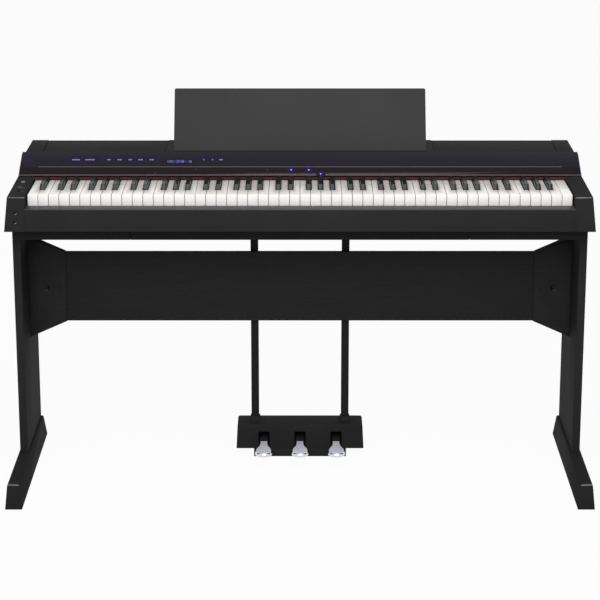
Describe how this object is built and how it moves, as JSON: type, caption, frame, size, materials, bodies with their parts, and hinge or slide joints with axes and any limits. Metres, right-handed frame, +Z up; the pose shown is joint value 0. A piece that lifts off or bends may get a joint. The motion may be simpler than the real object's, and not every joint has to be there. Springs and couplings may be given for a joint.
{
  "type": "digital piano on stand",
  "caption": "Slim black digital piano with a full keyboard, music rest and pedal unit, on a board stand with long feet.",
  "frame": {"origin": "on the floor, under the middle of the whole object's box", "axes": "+X from the bass end to the treble end, +Y from the player to the back, +Z up"},
  "size_m": [1.32, 0.544, 0.8617],
  "materials": {
    "case": "fine-textured moulded black",
    "panel": "glossy violet-black",
    "trim": "satin grey",
    "white_key": "satin warm white",
    "black_key": "matte black",
    "felt": "dark red felt",
    "board": "black melamine-faced board",
    "painted_steel": "satin black",
    "steel": "plain",
    "chrome": "polished",
    "rubber": "matte",
    "circuit": "green laminate",
    "socket": "black",
    "rest": "satin dark grey",
    "button": "light grey",
    "speaker": "matte black"
  },
  "bodies": {
    "case_and_stand": {"back_board": "board", "back_wall": "case", "centre_cover": "case", "circuit_boards": "circuit", "control_panel": "panel", "corner_brackets": "painted_steel", "felt_rail": "case", "foot_pads": "rubber", "headphone_sockets": "socket", "key_chassis": "painted_steel", "key_felt": "felt", "key_slip": "case", "key_slip_strip": "trim", "key_stop_felt": "felt", "knob_bolts": "case", "left_end_block": "case", "left_foot": "board", "left_leg": "board", "left_rear_cap": "case", "left_speaker": "speaker", "left_speaker_lid": "case", "left_support": "board", "left_wing": "board", "leg_bolts": "steel", "lower_case": "case", "panel_divider": "trim", "panel_edge_trim": "trim", "pedal_axle": "steel", "pedal_base": "case", "pedal_box": "case", "pedal_posts": "painted_steel", "post_collars": "case", "right_end_block": "case", "right_foot": "board", "right_leg": "board", "right_rear_cap": "case", "right_speaker": "speaker", "right_speaker_lid": "case", "right_support": "board", "right_wing": "board", "socket_plate": "socket", "wing_fasteners": "steel"},
    "keys_c": {"keys_c": "white_key"},
    "keys_c_sharp": {"keys_c_sharp": "black_key"},
    "keys_d": {"keys_d": "white_key"},
    "keys_d_sharp": {"keys_d_sharp": "black_key"},
    "keys_e": {"keys_e": "white_key"},
    "keys_f": {"keys_f": "white_key"},
    "keys_f_sharp": {"keys_f_sharp": "black_key"},
    "keys_g": {"keys_g": "white_key"},
    "keys_g_sharp": {"keys_g_sharp": "black_key"},
    "keys_a": {"keys_a": "white_key"},
    "keys_a_sharp": {"keys_a_sharp": "black_key"},
    "keys_b": {"keys_b": "white_key"},
    "left_pedal": {"left_pedal": "chrome"},
    "middle_pedal": {"middle_pedal": "chrome"},
    "right_pedal": {"right_pedal": "chrome"},
    "music_rest": {"music_rest": "rest"},
    "power_button": {"power_button": "button"},
    "volume_slider": {"volume_slider": "case"}
  },
  "joints": [
    {"name": "keys_c_tip", "type": "hinge", "parent": "case_and_stand", "child": "keys_c", "pos_m": [0, 0.14, 0.66012], "axis": [1, 0, 0], "range_deg": [0, 2.73], "stiffness_Nm_per_rad": 8, "springref_deg": -8.02},
    {"name": "keys_c_sharp_tip", "type": "hinge", "parent": "case_and_stand", "child": "keys_c_sharp", "pos_m": [0, 0.14, 0.66012], "axis": [1, 0, 0], "range_deg": [0, 2.73], "stiffness_Nm_per_rad": 8, "springref_deg": -8.02},
    {"name": "keys_d_tip", "type": "hinge", "parent": "case_and_stand", "child": "keys_d", "pos_m": [0, 0.14, 0.66012], "axis": [1, 0, 0], "range_deg": [0, 2.73], "stiffness_Nm_per_rad": 8, "springref_deg": -8.02},
    {"name": "keys_d_sharp_tip", "type": "hinge", "parent": "case_and_stand", "child": "keys_d_sharp", "pos_m": [0, 0.14, 0.66012], "axis": [1, 0, 0], "range_deg": [0, 2.73], "stiffness_Nm_per_rad": 8, "springref_deg": -8.02},
    {"name": "keys_e_tip", "type": "hinge", "parent": "case_and_stand", "child": "keys_e", "pos_m": [0, 0.14, 0.66012], "axis": [1, 0, 0], "range_deg": [0, 2.73], "stiffness_Nm_per_rad": 8, "springref_deg": -8.02},
    {"name": "keys_f_tip", "type": "hinge", "parent": "case_and_stand", "child": "keys_f", "pos_m": [0, 0.14, 0.66012], "axis": [1, 0, 0], "range_deg": [0, 2.73], "stiffness_Nm_per_rad": 8, "springref_deg": -8.02},
    {"name": "keys_f_sharp_tip", "type": "hinge", "parent": "case_and_stand", "child": "keys_f_sharp", "pos_m": [0, 0.14, 0.66012], "axis": [1, 0, 0], "range_deg": [0, 2.73], "stiffness_Nm_per_rad": 8, "springref_deg": -8.02},
    {"name": "keys_g_tip", "type": "hinge", "parent": "case_and_stand", "child": "keys_g", "pos_m": [0, 0.14, 0.66012], "axis": [1, 0, 0], "range_deg": [0, 2.73], "stiffness_Nm_per_rad": 8, "springref_deg": -8.02},
    {"name": "keys_g_sharp_tip", "type": "hinge", "parent": "case_and_stand", "child": "keys_g_sharp", "pos_m": [0, 0.14, 0.66012], "axis": [1, 0, 0], "range_deg": [0, 2.73], "stiffness_Nm_per_rad": 8, "springref_deg": -8.02},
    {"name": "keys_a_tip", "type": "hinge", "parent": "case_and_stand", "child": "keys_a", "pos_m": [0, 0.14, 0.66012], "axis": [1, 0, 0], "range_deg": [0, 2.73], "stiffness_Nm_per_rad": 8, "springref_deg": -8.02},
    {"name": "keys_a_sharp_tip", "type": "hinge", "parent": "case_and_stand", "child": "keys_a_sharp", "pos_m": [0, 0.14, 0.66012], "axis": [1, 0, 0], "range_deg": [0, 2.73], "stiffness_Nm_per_rad": 8, "springref_deg": -8.02},
    {"name": "keys_b_tip", "type": "hinge", "parent": "case_and_stand", "child": "keys_b", "pos_m": [0, 0.14, 0.66012], "axis": [1, 0, 0], "range_deg": [0, 2.73], "stiffness_Nm_per_rad": 8, "springref_deg": -8.02},
    {"name": "left_pedal_tip", "type": "hinge", "parent": "case_and_stand", "child": "left_pedal", "pos_m": [-0.086, 0.109, 0.042], "axis": [1, 0, 0], "range_deg": [0, 6], "stiffness_Nm_per_rad": 8, "springref_deg": -11.46},
    {"name": "middle_pedal_tip", "type": "hinge", "parent": "case_and_stand", "child": "middle_pedal", "pos_m": [0, 0.109, 0.042], "axis": [1, 0, 0], "range_deg": [0, 6], "stiffness_Nm_per_rad": 8, "springref_deg": -11.46},
    {"name": "right_pedal_tip", "type": "hinge", "parent": "case_and_stand", "child": "right_pedal", "pos_m": [0.086, 0.109, 0.042], "axis": [1, 0, 0], "range_deg": [0, 6], "stiffness_Nm_per_rad": 8, "springref_deg": -11.46},
    {"name": "music_rest_lift", "type": "slide", "parent": "case_and_stand", "child": "music_rest", "axis": [0, 0.4695, 0.8829], "range_m": [0, 0.02]},
    {"name": "power_button_press", "type": "slide", "parent": "case_and_stand", "child": "power_button", "axis": [0, 0, -1], "range_m": [0, 0.0015], "stiffness_N_per_m": 500, "springref_m": -0.003},
    {"name": "volume_slide", "type": "slide", "parent": "case_and_stand", "child": "volume_slider", "axis": [0, 1, 0], "range_m": [-0.0255, 0.0065]}
  ]
}
